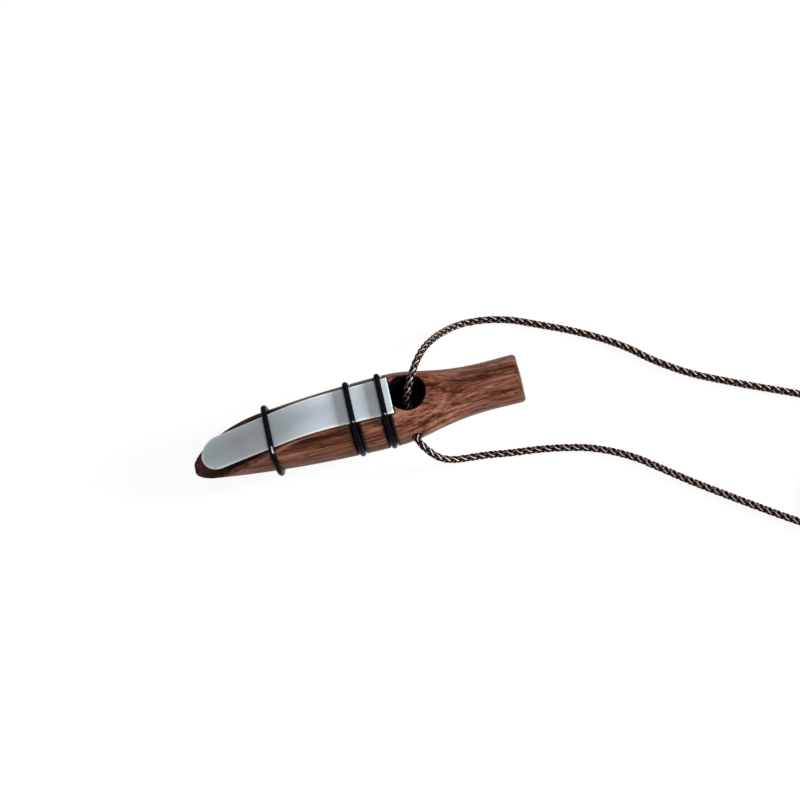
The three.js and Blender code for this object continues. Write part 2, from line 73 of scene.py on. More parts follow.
REAR_RING_AT, FRONT_RING_AT, TUNING_RING_AT = 38.3, 47.25, 70.6
TUNING_RING_LEAN = math.radians(2.5)
AXIS_HEIGHT = 10.5
CORD_DIAMETER = 2.1

HALF_LENGTH = BODY_LENGTH / 2
TONE_HOLE_X = HALF_LENGTH - TONE_HOLE_AT
SHOULDER_X = HALF_LENGTH - SHOULDER_AT
REED_END_X = SHOULDER_X - REED_END_CLEARANCE
REED_TIP_X = -HALF_LENGTH + REED_TIP_SETBACK
CLAMP_RINGS_AT = (REAR_RING_AT, FRONT_RING_AT)

# Where the tongue of the reed starts to bend, under the tuning ring
HINGE_X = HALF_LENGTH - TUNING_RING_AT


# Camera, at the viewing angle of the photograph

CAMERA_TARGET = np.array([13.2, 1.92, 11.54])
CAMERA_DISTANCE = 1200.0
MM_PER_PIXEL = 0.2755
IMAGE_WIDTH = 800
SENSOR_WIDTH = 36.0
CAMERA_ELEVATION = math.radians(61.0)
CAMERA_AZIMUTH = math.radians(2.8)
CAMERA_ROLL = math.radians(14.3)
CLIP_START, CLIP_END = 0.01, 20.0


def add_camera():
    back = np.array([
        math.sin(CAMERA_AZIMUTH),
        -math.cos(CAMERA_AZIMUTH) * math.cos(CAMERA_ELEVATION),
        math.cos(CAMERA_AZIMUTH) * math.sin(CAMERA_ELEVATION),
    ])
    level = np.array([1.0, 0.0, 0.0]) - back[0] * back
    level /= np.linalg.norm(level)
    rise = np.cross(back, level)
    right = math.cos(CAMERA_ROLL) * level - math.sin(CAMERA_ROLL) * rise
    up = math.sin(CAMERA_ROLL) * level + math.cos(CAMERA_ROLL) * rise
    eye = (CAMERA_TARGET + CAMERA_DISTANCE * back) * MM
    data = bpy.data.cameras.new("camera")
    data.sensor_fit = "HORIZONTAL"
    data.sensor_width = SENSOR_WIDTH
    data.lens = SENSOR_WIDTH * CAMERA_DISTANCE / MM_PER_PIXEL / IMAGE_WIDTH
    data.clip_start, data.clip_end = CLIP_START, CLIP_END
    camera = bpy.data.objects.new("camera", data)
    bpy.context.scene.collection.objects.link(camera)
    matrix = Matrix.Identity(4)
    for row in range(3):
        matrix[row][0], matrix[row][1], matrix[row][2] = right[row], up[row], back[row]
        matrix[row][3] = eye[row]
    camera.matrix_world = matrix
    bpy.context.scene.camera = camera


# Meshes

# A piece from points in millimetres, with numbers per point under the names in values
def add_mesh(
    name, points, faces, materials, face_materials=None, uvs=None, smooth=True, values=None,
):
    mesh = bpy.data.meshes.new(name)
    mesh.from_pydata((np.asarray(points) * MM).tolist(), [], faces)
    for material in materials:
        mesh.materials.append(material)
    if face_materials is not None:
        mesh.polygons.foreach_set("material_index", np.asarray(face_materials, np.int32))
    if uvs is not None:
        layer = mesh.uv_layers.new(name="along")
        corners = np.zeros(len(mesh.loops), np.int32)
        mesh.loops.foreach_get("vertex_index", corners)
        layer.data.foreach_set("uv", np.asarray(uvs, np.float32)[corners].ravel())
    for key, numbers in (values or {}).items():
        layer = mesh.attributes.new(name=key, type="FLOAT", domain="POINT")
        layer.data.foreach_set("value", np.asarray(numbers, np.float32))
    mesh.polygons.foreach_set("use_smooth", np.full(len(mesh.polygons), smooth))
    mesh.validate()
    mesh.update()
    piece = bpy.data.objects.new(name, mesh)
    bpy.context.scene.collection.objects.link(piece)
    return piece


def unit(vectors):
    return vectors / np.linalg.norm(vectors, axis=-1, keepdims=True)


def clamped(values):
    return np.clip(values, 0, 1)


# Smooth curve through points, blended as the routes of the CAD model are
def smooth_route(points, per_span=12):
    points = np.asarray(points, float)
    share = np.arange(per_span)[:, None] / per_span
    pieces = []
    for i in range(len(points) - 1):
        p1, p2 = points[i], points[i + 1]
        p0 = points[i - 1] if i else 2 * p1 - p2
        p3 = points[i + 2] if i + 2 < len(points) else 2 * p2 - p1
        spans = ((p0, p1), (p1, p2), (p2, p3))
        d0, d1, d2 = (math.sqrt(np.linalg.norm(b - a)) for a, b in spans)
        t1 = ((p1 - p0) / d0 - (p2 - p0) / (d0 + d1) + (p2 - p1) / d1) * d1
        t2 = ((p2 - p1) / d1 - (p3 - p1) / (d1 + d2) + (p3 - p2) / d2) * d1
        c2, c3 = 3 * (p2 - p1) - 2 * t1 - t2, 2 * (p1 - p2) + t1 + t2
        pieces.append(p1 + t1 * share + c2 * share ** 2 + c3 * share ** 3)
    pieces.append(points[-1:])
    return np.concatenate(pieces)


def arc_length(points):
    return np.concatenate([[0.0], np.cumsum(np.linalg.norm(np.diff(points, axis=0), axis=1))])


# Points at even steps along a line, and how far along it they are
def evenly(points, step):
    along = arc_length(points)
    count = max(2, int(round(along[-1] / step)) + 1)
    wanted = np.linspace(0, along[-1], count)
    return np.stack([np.interp(wanted, along, points[:, k]) for k in range(3)], 1), wanted


NEARLY_UPRIGHT = 0.1


# Two directions across a line, turned as little as possible from point to point
def frames_along(points):
    tangents = unit(np.gradient(points, axis=0))
    side = np.cross(tangents[0], [0.0, 0.0, 1.0])
    if np.linalg.norm(side) < NEARLY_UPRIGHT:
        side = np.cross(tangents[0], [0.0, 1.0, 0.0])
    sides = [side / np.linalg.norm(side)]
    for tangent in tangents[1:]:
        side = sides[-1] - tangent * sides[-1].dot(tangent)
        sides.append(side / np.linalg.norm(side))
    sides = np.array(sides)
    return sides, np.cross(tangents, sides)


# Faces of a tube of rings with the same number of points each: a loop, or a tube with two ends
def tube_faces(rings, around, first=0, closed=False):
    faces = []
    spans = rings if closed else rings - 1
    for i in range(spans):
        a, b = first + i * around, first + ((i + 1) % rings) * around
        faces += [(a + j, a + (j + 1) % around, b + (j + 1) % around, b + j) for j in range(around)]
    if not closed:
        faces.append(tuple(first + j for j in reversed(range(around))))
        faces.append(tuple(first + (rings - 1) * around + j for j in range(around)))
    return faces


# Neck cord: a round braid of four strands each way, over one and under one

BRAID_PITCH = 10.5
BRAID_RADIUS = 0.66
BRAID_WAVE = 0.15
STRAND_WIDTH, STRAND_THICKNESS = 0.82, 0.52
STRAND_TURNS = np.radians([0, 48, 92, 128, 180, 225, 270, 315])
STRAND_SIDES = len(STRAND_TURNS)
STRAND_LIGHT_AND_GLINT_SIDE = 2
STRANDS_EACH_WAY = 4
CORE_RADIUS, CORE_SIDES = 0.62, 8
DARK_YARN, LIGHT_YARN_AND_GLINT, CORE_YARN, DIM_YARN_AND_GLINT = range(4)


# One side of each strand, its outer crown, is light, partly a light yarn and partly a painted
# glint, and dimmer on the strands that run the other way
def add_braid(name, route, step, materials, size=1.0):
    points, along = evenly(route, step)
    sides, rises = frames_along(points)
    count = len(points)
    turn = 2 * math.pi * along / (BRAID_PITCH * size)
    verts, faces, marks, uvs = [], [], [], []
    for k in range(2 * STRANDS_EACH_WAY):
        way = 1 if k < STRANDS_EACH_WAY else -1
        angle = way * turn + 2 * math.pi * (k % STRANDS_EACH_WAY) / STRANDS_EACH_WAY
        out = np.cos(angle)[:, None] * sides + np.sin(angle)[:, None] * rises
        reach = (BRAID_RADIUS + way * BRAID_WAVE * np.cos(STRANDS_EACH_WAY * turn)) * size
        middle = points + out * reach[:, None]
        heading = unit(np.gradient(middle, axis=0))
        across = unit(np.cross(heading, out)) * way
        outward = np.cross(across, heading) * way
        first = len(verts) * count * STRAND_SIDES
        ring = []
        for roll in STRAND_TURNS:
            ring.append(
                middle
                + across * (STRAND_WIDTH * size / 2 * math.cos(roll))
                + outward * (STRAND_THICKNESS * size / 2 * math.sin(roll))
            )
        verts.append(np.stack(ring, 1).reshape(-1, 3))
        strand_faces = tube_faces(count, STRAND_SIDES, first)
        if way < 0:
            strand_faces = [tuple(reversed(face)) for face in strand_faces]
        faces += strand_faces
        sides_of = np.tile(np.arange(STRAND_SIDES), count - 1)
        lit = LIGHT_YARN_AND_GLINT if way > 0 else DIM_YARN_AND_GLINT
        marks.append(np.where(sides_of == STRAND_LIGHT_AND_GLINT_SIDE, lit, DARK_YARN))
        marks.append(np.full(2, DARK_YARN))
        around = np.tile(np.arange(STRAND_SIDES) / STRAND_SIDES + k, count)
        uvs.append(np.stack([np.repeat(along, STRAND_SIDES), around], 1))
    first = len(verts) * count * STRAND_SIDES
    ring = []
    for j in range(CORE_SIDES):
        roll = 2 * math.pi * j / CORE_SIDES
        out = math.cos(roll) * sides + math.sin(roll) * rises
        ring.append(points + CORE_RADIUS * size * out)
    verts.append(np.stack(ring, 1).reshape(-1, 3))
    faces += tube_faces(count, CORE_SIDES, first)
    marks.append(np.full((count - 1) * CORE_SIDES + 2, CORE_YARN))
    around = np.tile(np.arange(CORE_SIDES) / CORE_SIDES, count)
    uvs.append(np.stack([np.repeat(along, CORE_SIDES), around], 1))
    piece = add_mesh(
        name, np.concatenate(verts), faces, materials, np.concatenate(marks), np.concatenate(uvs),
    )
    return piece, points, along[-1]


# Materials

def new_material(name):
    material = bpy.data.materials.new(name)
    material.use_nodes = True
    tree = material.node_tree
    shader = next(node for node in tree.nodes if node.type == "BSDF_PRINCIPLED")
    return material, tree, shader


def add_node(tree, kind, inputs=None, **settings):
    node = tree.nodes.new(kind)
    for key, value in settings.items():
        setattr(node, key, value)
    for key, value in (inputs or {}).items():
        if isinstance(value, bpy.types.NodeSocket):
            tree.links.new(value, node.inputs[key])
        else:
            node.inputs[key].default_value = value
    return node


def add_ramp(tree, factor, stops):
    ramp = tree.nodes.new("ShaderNodeValToRGB")
    ramp.color_ramp.interpolation = "EASE"
    elements = ramp.color_ramp.elements
    while len(elements) < len(stops):
        elements.new(0.5)
    for element, (place, colour) in zip(elements, stops):
        element.position = place
        element.color = (*colour, 1.0)
    tree.links.new(factor, ramp.inputs["Fac"])
    return ramp.outputs["Color"]


def grey(value):
    return (value, value, value)


# A colour as it is seen on a screen, from 0 to 255, as linear light (the sRGB curve)
def seen(red, green, blue):
    return tuple(
        v / 12.92 if v <= 0.04045 else ((v + 0.055) / 1.055) ** 2.4
        for v in (red / 255, green / 255, blue / 255)
    )


def stretched(tree, scale):
    place = add_node(tree, "ShaderNodeTexCoord")
    return add_node(
        tree, "ShaderNodeMapping", {"Vector": place.outputs["Object"], "Scale": scale},
    ).outputs["Vector"]


def noise(tree, vector, detail, roughness, distortion=0.0, scale=1.0):
    return add_node(
        tree, "ShaderNodeTexNoise",
        {
            "Vector": vector, "Scale": scale, "Detail": detail,
            "Roughness": roughness, "Distortion": distortion,
        },
    ).outputs["Fac"]


def mixed(tree, factor, a, b, blend="MIX"):
    node = add_node(tree, "ShaderNodeMix", data_type="RGBA", blend_type=blend)
    sockets = [s for s in node.inputs if s.enabled]
    for socket, value in zip(sockets, (factor, a, b)):
        if isinstance(value, bpy.types.NodeSocket):
            tree.links.new(value, socket)
        elif hasattr(value, "__len__"):
            socket.default_value = (*value, 1.0)
        else:
            socket.default_value = value
    return next(s for s in node.outputs if s.enabled)


# The numbers that a mesh holds for its points under a name
def value_of(tree, name):
    return add_node(tree, "ShaderNodeAttribute", attribute_name=name).outputs["Fac"]


def add_bump(tree, shader, strength, depth, height):
    bump = add_node(
        tree, "ShaderNodeBump", {"Strength": strength, "Distance": depth, "Height": height},
    )
    tree.links.new(bump.outputs["Normal"], shader.inputs["Normal"])


# Scale, shift, detail, roughness and distortion of each noise in the grain
LAYERS = (22, 120, 420), (3.5, 0.8, 5.2), 3.0, 0.5, 0.5
STREAKS = (36, 800, 1200), (2.1, 0.4, 3.3), 6.0, 0.62, 0.3
FIBRES = (300, 4200, 4200), (0.0, 0.0, 0.0), 3.0, 0.6, 0.0
PORES = (300, 1500, 1500), (5.0, 2.0, 1.0), 2.0, 0.5, 0.0
GRAIN_TILT = (math.radians(-16), math.radians(3), math.radians(2))
STREAK_SHARE, FIBRE_SHARE, PORE_SHARE = 0.62, 0.2, 0.85
WOOD_BUMP, WOOD_BUMP_DEPTH, WOOD_BUMP_PORES = 0.35, 0.00008, 0.5
POLISHED_ROUGHNESS, WOOD_SPECULAR = 0.05, 0.1


def wood_material():
    material, tree, shader = new_material("call_wood")
    # Growth layers run along the body a little aslant, so the turned shape cuts them in long waves
    place = add_node(tree, "ShaderNodeTexCoord")
    tilted = add_node(
        tree, "ShaderNodeMapping", {"Vector": place.outputs["Object"], "Rotation": GRAIN_TILT},
    ).outputs["Vector"]

    def grain(scale, shift, detail, roughness, distortion):
        vector = add_node(
            tree, "ShaderNodeMapping", {"Vector": tilted, "Scale": scale, "Location": shift},
        ).outputs["Vector"]
        return noise(tree, vector, detail, roughness, distortion)

    layers, streaks = grain(*LAYERS), grain(*STREAKS)
    fibres, pores = grain(*FIBRES), grain(*PORES)
    tone = mixed(tree, FIBRE_SHARE, mixed(tree, STREAK_SHARE, layers, streaks), fibres)
    colour = add_ramp(tree, tone, [
        (0.42, seen(50, 19, 9)), (0.47, seen(98, 53, 37)),
        (0.52, seen(125, 79, 62)), (0.60, seen(162, 115, 97)),
    ])
    pore_shade = add_ramp(tree, pores, [(0.32, grey(0.24)), (0.41, grey(1.0))])
    colour = mixed(tree, PORE_SHARE, colour, pore_shade, "MULTIPLY")
    # End grain and oiled, milled faces are darker, with the grain still in them; the milled share
    # also carries painted shade along the edges of the tone board
    for name, tint in (("end_grain", seen(150, 134, 128)), ("milled_and_shade", seen(138, 122, 118))):
        darker = mixed(tree, 1.0, colour, tint, "MULTIPLY")
        colour = mixed(tree, value_of(tree, name), colour, darker)
    # A painted highlight on the board's front edge, a painted shadow beside the reed, burnt grooves
    # and painted shade deep in the holes cover the grain
    for name, cover in (
        ("painted_edge_highlight", seen(176, 128, 104)), ("painted_reed_shadow", seen(40, 21, 14)),
        ("burnt", seen(20, 12, 10)), ("painted_hole_shade", seen(6, 4, 4)),
    ):
        colour = mixed(tree, value_of(tree, name), colour, cover)
    tree.links.new(colour, shader.inputs["Base Color"])
    rough = add_ramp(tree, fibres, [(0.3, grey(0.5)), (0.7, grey(0.38))])
    # The end face is sanded smooth and polished
    polished = value_of(tree, "polished")
    rough = mixed(tree, polished, rough, grey(POLISHED_ROUGHNESS))
    tree.links.new(rough, shader.inputs["Roughness"])
    fibre_height = add_ramp(tree, fibres, [(0.3, grey(0.74)), (0.7, grey(1.16))])
    height = mixed(tree, WOOD_BUMP_PORES, fibre_height, pore_shade, "MULTIPLY")
    strength = mixed(tree, polished, grey(WOOD_BUMP), grey(0.0))
    add_bump(tree, shader, strength, WOOD_BUMP_DEPTH, height)
    shader.inputs["Specular IOR Level"].default_value = WOOD_SPECULAR
    return material


REED_IOR, REED_SPECULAR, REED_EDGE_ROUGHNESS = 1.5, 0.35, 0.4


def reed_material():
    material, tree, shader = new_material("reed_plastic")
    # Milky plastic, with painted light that makes it lighter towards its edges
    cloud = noise(tree, stretched(tree, (70, 150, 150)), detail=2.0, roughness=0.5)
    middle = add_ramp(tree, cloud, [(0.3, seen(191, 201, 207)), (0.7, seen(204, 214, 221))])
    painted_reed_light = add_ramp(tree, cloud, [(0.3, seen(214, 224, 231)), (0.7, seen(222, 232, 239))])
    colour = mixed(tree, value_of(tree, "painted_reed_light"), middle, painted_reed_light)
    tree.links.new(colour, shader.inputs["Base Color"])
    wear = noise(tree, stretched(tree, (600, 600, 600)), detail=3.0, roughness=0.5)
    rough = add_ramp(tree, wear, [(0.3, grey(0.27)), (0.7, grey(0.33))])
    tree.links.new(rough, shader.inputs["Roughness"])
    shader.inputs["IOR"].default_value = REED_IOR
    shader.inputs["Specular IOR Level"].default_value = REED_SPECULAR
    return material


# Near-white cut edges of the reed, also used for the painted highlight rim on its top face
def reed_edge_and_highlight_material():
    material, tree, shader = new_material("reed_cut_edge_and_highlight")
    cut = noise(tree, stretched(tree, (2500, 2500, 6000)), detail=2.0, roughness=0.5)
    colour = add_ramp(tree, cut, [(0.3, seen(244, 246, 247)), (0.7, seen(251, 252, 252))])
    tree.links.new(colour, shader.inputs["Base Color"])
    shader.inputs["Roughness"].default_value = REED_EDGE_ROUGHNESS
    return material


RUBBER_SPECULAR = 0.035


def rubber_material():
    material, tree, shader = new_material("ring_rubber")
    dust = noise(tree, stretched(tree, (900, 900, 900)), detail=4.0, roughness=0.6)
    colour = add_ramp(tree, dust, [(0.35, seen(4, 4, 5)), (0.75, seen(9, 9, 10))])
    tree.links.new(colour, shader.inputs["Base Color"])
    rough = add_ramp(tree, dust, [(0.3, grey(0.2)), (0.75, grey(0.26))])
    tree.links.new(rough, shader.inputs["Roughness"])
    shader.inputs["Specular IOR Level"].default_value = RUBBER_SPECULAR
    return material


YARN_STRETCH, YARN_TWIST, YARN_FINENESS = (1.1, 9.0, 1.0), (0, 0, 0.5), 2.4
YARN_BUMP, YARN_BUMP_DEPTH, YARN_SPECULAR = 0.5, 0.00006, 0.06
YARN_ROUGHNESS, CORE_ROUGHNESS = 0.5, 0.8


def yarn_material(name, dark, light, roughness):
    material, tree, shader = new_material(name)
    place = add_node(tree, "ShaderNodeTexCoord")
    twist = add_node(
        tree, "ShaderNodeMapping",
        {"Vector": place.outputs["UV"], "Scale": YARN_STRETCH, "Rotation": YARN_TWIST},
    ).outputs["Vector"]
    fibre = noise(tree, twist, detail=3.0, roughness=0.6, scale=YARN_FINENESS)
    colour = add_ramp(tree, fibre, [(0.32, dark), (0.68, light)])
    tree.links.new(colour, shader.inputs["Base Color"])
    add_bump(tree, shader, YARN_BUMP, YARN_BUMP_DEPTH, fibre)
    shader.inputs["Roughness"].default_value = roughness
    shader.inputs["Specular IOR Level"].default_value = YARN_SPECULAR
    return material


TAPE_WEAVE = 3200.0
TAPE_BUMP, TAPE_BUMP_DEPTH, TAPE_ROUGHNESS, TAPE_SHEEN = 0.6, 0.0001, 0.75, 0.3


def tape_material():
    material, tree, shader = new_material("tie_tape")
    weave = add_node(
        tree, "ShaderNodeTexChecker",
        {"Vector": stretched(tree, (1, 1, 1)), "Scale": TAPE_WEAVE},
    ).outputs["Fac"]
    fuzz = noise(tree, stretched(tree, (4000, 4000, 4000)), detail=3.0, roughness=0.6)
    colour = add_ramp(tree, fuzz, [(0.3, seen(22, 21, 21)), (0.7, seen(40, 38, 37))])
    tree.links.new(colour, shader.inputs["Base Color"])
    add_bump(tree, shader, TAPE_BUMP, TAPE_BUMP_DEPTH, weave)
    shader.inputs["Roughness"].default_value = TAPE_ROUGHNESS
    shader.inputs["Sheen Weight"].default_value = TAPE_SHEEN
    return material


# Routes of the cord, as in the CAD model: X is measured from the middle of the tone hole

CORD_HOLE_Z = AXIS_HEIGHT + CORD_HOLE_HEIGHT
CORD_FLOOR_GAP = 0.05
CORD_LIE = CORD_DIAMETER / 2 + CORD_FLOOR_GAP
CORD_END_GAP = 0.3
CORD_MEETING_Y = -7.6
COIL_CENTRE = np.array([120.4, -56.0])
COIL_HEADING = math.radians(-34)
COIL_INNER_RADIUS = 5.95
COIL_GAP = 0.55
COIL_STEP = CORD_DIAMETER + COIL_GAP
COIL_TURNS = 8.5
COIL_CLIMB_TURNS = 0.5
COIL_EXIT_ANGLE = math.radians(75)
COIL_EXIT_SHIFT = 4.0
COIL_STEPS_PER_TURN = 24
TIE_THICKNESS, TIE_WIDTH, TIE_CLEARANCE, TIE_ROUND = 0.5, 3.0, 0.3, 1.2
KNOT_LENGTH, KNOT_RADIUS = 8.0, 2.5
BOTTOM_LAYER = TIE_THICKNESS + TIE_CLEARANCE + CORD_DIAMETER / 2
COIL_OUTER_RADIUS = COIL_INNER_RADIUS + COIL_STEP * COIL_TURNS / 2
COIL_ALONG = np.array([math.cos(COIL_HEADING), math.sin(COIL_HEADING), 0.0])
COIL_ACROSS = np.array([-math.sin(COIL_HEADING), math.cos(COIL_HEADING), 0.0])


# A point beside the middle of the coil
def coil_point(along, across, height):
    middle = np.array([COIL_CENTRE[0] + TONE_HOLE_X, COIL_CENTRE[1], height])
    return middle + along * COIL_ALONG + across * COIL_ACROSS


def smoothstep(value, low, high):
    t = min(max((value - low) / (high - low), 0.0), 1.0)
    return t * t * (3 - 2 * t)


# Turns inwards in the lower layer, outwards in the upper one, and off to the knot
def coil_route():
    steps = round(COIL_TURNS * COIL_STEPS_PER_TURN)
    points = [coil_point(-CORD_DIAMETER, -COIL_OUTER_RADIUS, BOTTOM_LAYER)]
    for i in range(steps + 1):
        turn = i / steps * COIL_TURNS
        angle = 2 * math.pi * turn - math.pi / 2
        from_middle = turn - COIL_TURNS / 2
        climb = smoothstep(from_middle, -COIL_CLIMB_TURNS / 2, COIL_CLIMB_TURNS / 2)
        left = 2 * math.pi * (COIL_TURNS - turn)
        leave = smoothstep(COIL_EXIT_ANGLE - left, 0, COIL_EXIT_ANGLE)
        layer = BOTTOM_LAYER + COIL_STEP * climb
        radius = COIL_INNER_RADIUS + COIL_STEP * abs(from_middle) + COIL_EXIT_SHIFT * leave
        height = layer + (KNOT_RADIUS - layer) * leave
        points.append(coil_point(radius * math.cos(angle), radius * math.sin(angle), height))
    points.append(coil_point(-CORD_DIAMETER, COIL_OUTER_RADIUS + COIL_EXIT_SHIFT, KNOT_RADIUS))
    return points


KNOT_ACROSS = COIL_OUTER_RADIUS + COIL_EXIT_SHIFT
KNOT_START = -CORD_DIAMETER - CORD_END_GAP
KNOT_END = KNOT_START - KNOT_LENGTH


# Outline of the turned body: its radius at a distance from the horn end

OUTLINE_STEPS = 400


def bezier(points):
    t = np.linspace(0, 1, OUTLINE_STEPS)[:, None]
    level = [np.asarray(p, float) * np.ones_like(t) for p in points]
    while len(level) > 1:
        level = [a * (1 - t) + b * t for a, b in zip(level, level[1:])]
    return level[0]


flare = bezier([
    (WAIST_AT, WAIST_RADIUS), (WAIST_AT + FLARE_WAIST_HANDLE, WAIST_RADIUS),
    (BELLY_AT - FLARE_BELLY_HANDLE, BELLY_RADIUS), (BELLY_AT, BELLY_RADIUS),
])
taper = bezier([
    (BELLY_AT, BELLY_RADIUS), (BELLY_AT + TAPER_HANDLE, BELLY_RADIUS), (BODY_LENGTH, TIP_RADIUS),
])
outline = np.concatenate([[(0.0, HORN_RADIUS)], flare, taper[1:]])
outline_slope = np.gradient(outline[:, 1], outline[:, 0])


def body_radius(distance):
    return np.interp(distance, outline[:, 0], outline[:, 1])


BODY_TOP_Z = AXIS_HEIGHT + float(body_radius(TONE_HOLE_AT))

# Out of the tone hole and round to the knot
UPPER_ROUTE = [
    (CORD_HOLE_OFFSET, CORD_MEETING_Y + CORD_END_GAP / 2, CORD_HOLE_Z),
    (CORD_HOLE_OFFSET, -5.9, CORD_HOLE_Z),
    (-0.3, -3.3, CORD_HOLE_Z + 0.6),
    (-0.5, -1.6, CORD_HOLE_Z + 2.2),
    (-0.4, -0.6, CORD_HOLE_Z + 4.3),
    (0.1, 0.2, BODY_TOP_Z - 3.8),
    (0.8, 1.2, BODY_TOP_Z - 1.9),
    (1.7, 2.5, BODY_TOP_Z - 0.7),
    (2.9, 4.5, BODY_TOP_Z - 0.1),
    (4.5, 7.4, BODY_TOP_Z - 0.3),
    (6.2, 10.7, 18.3),
    (7.9, 13.9, 15.9),
    (9.7, 17.1, 12.6),
    (11.8, 20.3, 9.0),
    (14.0, 22.9, 5.8),
    (16.4, 24.9, 3.3),
    (19.0, 26.0, 1.8),
    (21.6, 26.2, 1.2),
    (25.1, 25.8, CORD_LIE),
    (31.7, 23.9, CORD_LIE),
    (40.0, 19.8, CORD_LIE),
    (48.3, 15.4, CORD_LIE),
    (56.4, 10.2, CORD_LIE),
    (62.4, 5.4, CORD_LIE),
    (67.4, 0.6, CORD_LIE),
    (76.4, -6.4, CORD_LIE),
    (88.4, -13.2, CORD_LIE),
    (102.4, -20.4, CORD_LIE),
    (113.4, -26.4, 1.5),
]

# Out of the cord hole and along to the coil
LOWER_ROUTE = [
    (CORD_HOLE_OFFSET, CORD_MEETING_Y - CORD_END_GAP / 2, CORD_HOLE_Z),
    (CORD_HOLE_OFFSET, -9.9, CORD_HOLE_Z),
    (0.2, -11.5, CORD_HOLE_Z - 0.1),
    (1.0, -12.9, CORD_HOLE_Z - 0.5),
    (2.0, -14.1, 8.6),
    (3.3, -15.1, 7.2),
    (4.8, -15.7, 5.7),
    (6.7, -15.9, 4.2),
    (8.8, -15.8, 2.9),
    (11.2, -15.6, 1.9),
    (14.0, -15.6, 1.35),
    (17.4, -15.9, 1.15),
    (23.0, -16.9, CORD_LIE),
    (31.8, -18.2, CORD_LIE),
    (38.4, -19.6, CORD_LIE),
    (44.8, -21.5, CORD_LIE),
    (50.9, -24.4, CORD_LIE),
    (56.8, -28.2, CORD_LIE),
    (60.4, -31.2, CORD_LIE),
    (69.4, -39.0, CORD_LIE),
    (81.4, -48.6, CORD_LIE),
    (93.4, -58.0, 1.4),
]


def placed(route):
    return [np.array([x + TONE_HOLE_X, y, z]) for x, y, z in route]


BRAID_STEP = 0.42


def add_cords(materials):
    upper_points = placed(UPPER_ROUTE) + [
        coil_point(KNOT_END - CORD_END_GAP - 2 * CORD_DIAMETER, KNOT_ACROSS, KNOT_RADIUS),
        coil_point(KNOT_END - CORD_END_GAP, KNOT_ACROSS, KNOT_RADIUS),
        coil_point(KNOT_END + CORD_DIAMETER, KNOT_ACROSS, KNOT_RADIUS),
    ]
    lower_points = placed(LOWER_ROUTE) + [
        coil_point(-CORD_END_GAP - 4 * CORD_DIAMETER, -COIL_OUTER_RADIUS, BOTTOM_LAYER),
        coil_point(-CORD_END_GAP - CORD_DIAMETER, -COIL_OUTER_RADIUS, BOTTOM_LAYER),
    ] + coil_route()[1:] + [coil_point(KNOT_START - CORD_DIAMETER, KNOT_ACROSS, KNOT_RADIUS)]
    return [
        add_braid(name, smooth_route(points), BRAID_STEP, materials)
        for name, points in (("cord_upper", upper_points), ("cord_lower", lower_points))
    ]


# A knot of wraps round the two ends of the cord, with both tails beside it

KNOT_WRAP_RADIUS = 1.5
KNOT_WRAPS, KNOT_STEPS, KNOT_STEPS_PER_SPAN = 3.5, 60, 6
KNOT_CORD_SIZE = 0.9
KNOT_TAIL, KNOT_TAIL_TIP = 5.0, 1.0
# How far across and up from the knot's middle the tails pass, near it and at their tips
KNOT_TAIL_NEAR, KNOT_LEAD_TIP, KNOT_TRAIL_TIP = (2.3, -0.6), (2.4, -1.4), (2.7, -1.4)


def add_knot(materials):
    centre = (KNOT_START + KNOT_END) / 2
    reach = KNOT_LENGTH / 2 - CORD_DIAMETER * KNOT_CORD_SIZE / 2

    def at(along, across, rise):
        return coil_point(centre + along, KNOT_ACROSS + across, KNOT_RADIUS + rise)

    wraps = []
    for i in range(KNOT_STEPS + 1):
        share = i / KNOT_STEPS
        angle = 2 * math.pi * KNOT_WRAPS * (share - 0.5)
        across, rise = KNOT_WRAP_RADIUS * math.cos(angle), KNOT_WRAP_RADIUS * math.sin(angle)
        wraps.append(at(reach * (2 * share - 1), across, rise))
    lead = [
        at(-reach - KNOT_TAIL - KNOT_TAIL_TIP, *KNOT_LEAD_TIP),
        at(-reach - KNOT_TAIL / 2, *KNOT_TAIL_NEAR),
    ]
    trail = [
        at(reach + KNOT_TAIL / 2, *KNOT_TAIL_NEAR),
        at(reach + KNOT_TAIL + KNOT_TAIL_TIP, *KNOT_TRAIL_TIP),
    ]
    route = smooth_route(lead + wraps + trail, KNOT_STEPS_PER_SPAN)
    piece, _, _ = add_braid("knot", route, BRAID_STEP, materials, size=KNOT_CORD_SIZE)
    return piece


# Flat woven band round the coil

TAPE_EDGE_ROUND, TAPE_CROWN = 0.2, 0.03
TAPE_CORNER_STEPS = 8


